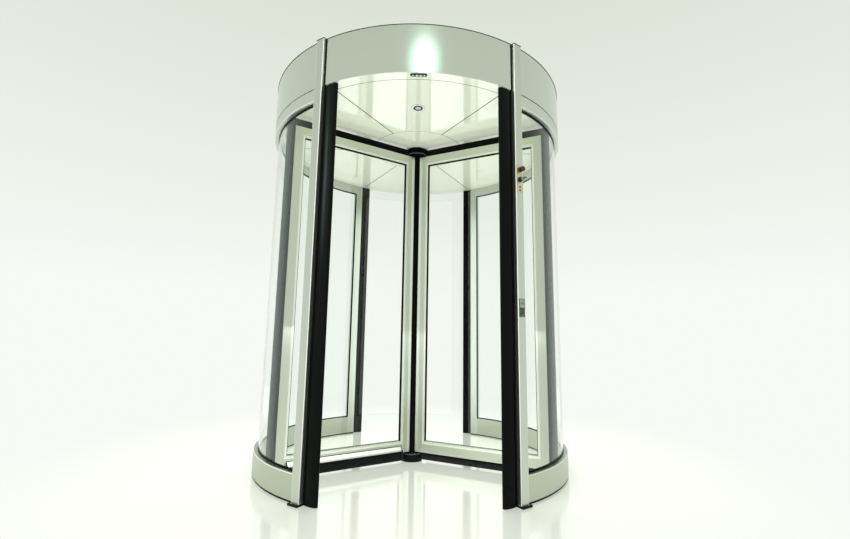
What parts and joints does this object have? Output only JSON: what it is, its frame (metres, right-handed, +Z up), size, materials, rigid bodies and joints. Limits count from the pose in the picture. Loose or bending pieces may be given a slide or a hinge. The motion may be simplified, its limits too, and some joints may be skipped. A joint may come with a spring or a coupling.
{
  "type": "revolving door",
  "caption": "Revolving door: glass wings on a centre shaft turn in a round drum of curved glass walls, metal posts, base rails and a deep flat header.",
  "frame": {"origin": "middle of the drum at floor level, on the axis of the turning part", "axes": "+Z up along the shaft; -Y out through the front opening, which the controls are beside; +X to the right of someone who faces the front opening from outside the drum"},
  "size_m": [2.204, 2.204, 2.7],
  "materials": {
    "silver": "satin anodised",
    "rubber": "matt",
    "glass": "clear, slightly green",
    "ceiling_white": "gloss white lacquer",
    "black_metal": "satin black",
    "steel_grey": "plain",
    "roof_dark": "matt dark grey",
    "sensor_white": "gloss white with dark lens",
    "control_brass": "brushed",
    "button_green": "gloss",
    "stop_red": "gloss",
    "key_black": "matt"
  },
  "bodies": {
    "drum": {"post_front_left": "silver", "post_front_right": "silver", "post_rear_left": "silver", "post_rear_right": "silver", "base_rail_left": "silver", "base_rail_right": "silver", "top_rail_left": "silver", "top_rail_right": "silver", "header_panel_front": "silver", "header_panel_rear": "silver", "header_panel_left": "silver", "header_panel_right": "silver", "finger_guards": "rubber", "floor_seals": "rubber", "wall_gaskets": "rubber", "foot_plates": "black_metal", "floor_plate": "black_metal", "wall_glass_left": "glass", "wall_glass_right": "glass", "ceiling_ring": "ceiling_white", "ceiling_panels": "ceiling_white", "ceiling_disc": "ceiling_white", "header_beam": "steel_grey", "top_bearing": "steel_grey", "roof_cover": "roof_dark", "sensors": "sensor_white", "control_plate": "control_brass", "button_plate": "button_green"},
    "rotor": {"centre_shaft": "black_metal", "top_hub": "black_metal", "floor_hub": "black_metal", "left_wing_frame": "silver", "left_wing_glass": "glass", "left_wing_seal": "rubber", "left_wing_strip": "rubber", "right_wing_frame": "silver", "right_wing_glass": "glass", "right_wing_seal": "rubber", "right_wing_strip": "rubber", "rear_wing_frame": "silver", "rear_wing_glass": "glass", "rear_wing_seal": "rubber", "rear_wing_strip": "rubber"},
    "stop": {"stop_button": "stop_red"},
    "key_turn": {"key": "key_black"}
  },
  "joints": [
    {"name": "rotor_spin", "type": "hinge", "parent": "drum", "child": "rotor", "pos_m": [0, 0, 0], "axis": [0, 0, 1], "continuous": true},
    {"name": "stop_press", "type": "slide", "parent": "drum", "child": "stop", "axis": [-0.5446, 0.8387, 0], "range_m": [0, 0.004]},
    {"name": "key_turn", "type": "hinge", "parent": "drum", "child": "key_turn", "pos_m": [0.62089, -0.95608, 1.819], "axis": [0.5446, -0.8387, 0], "range_deg": [0, 90]}
  ]
}
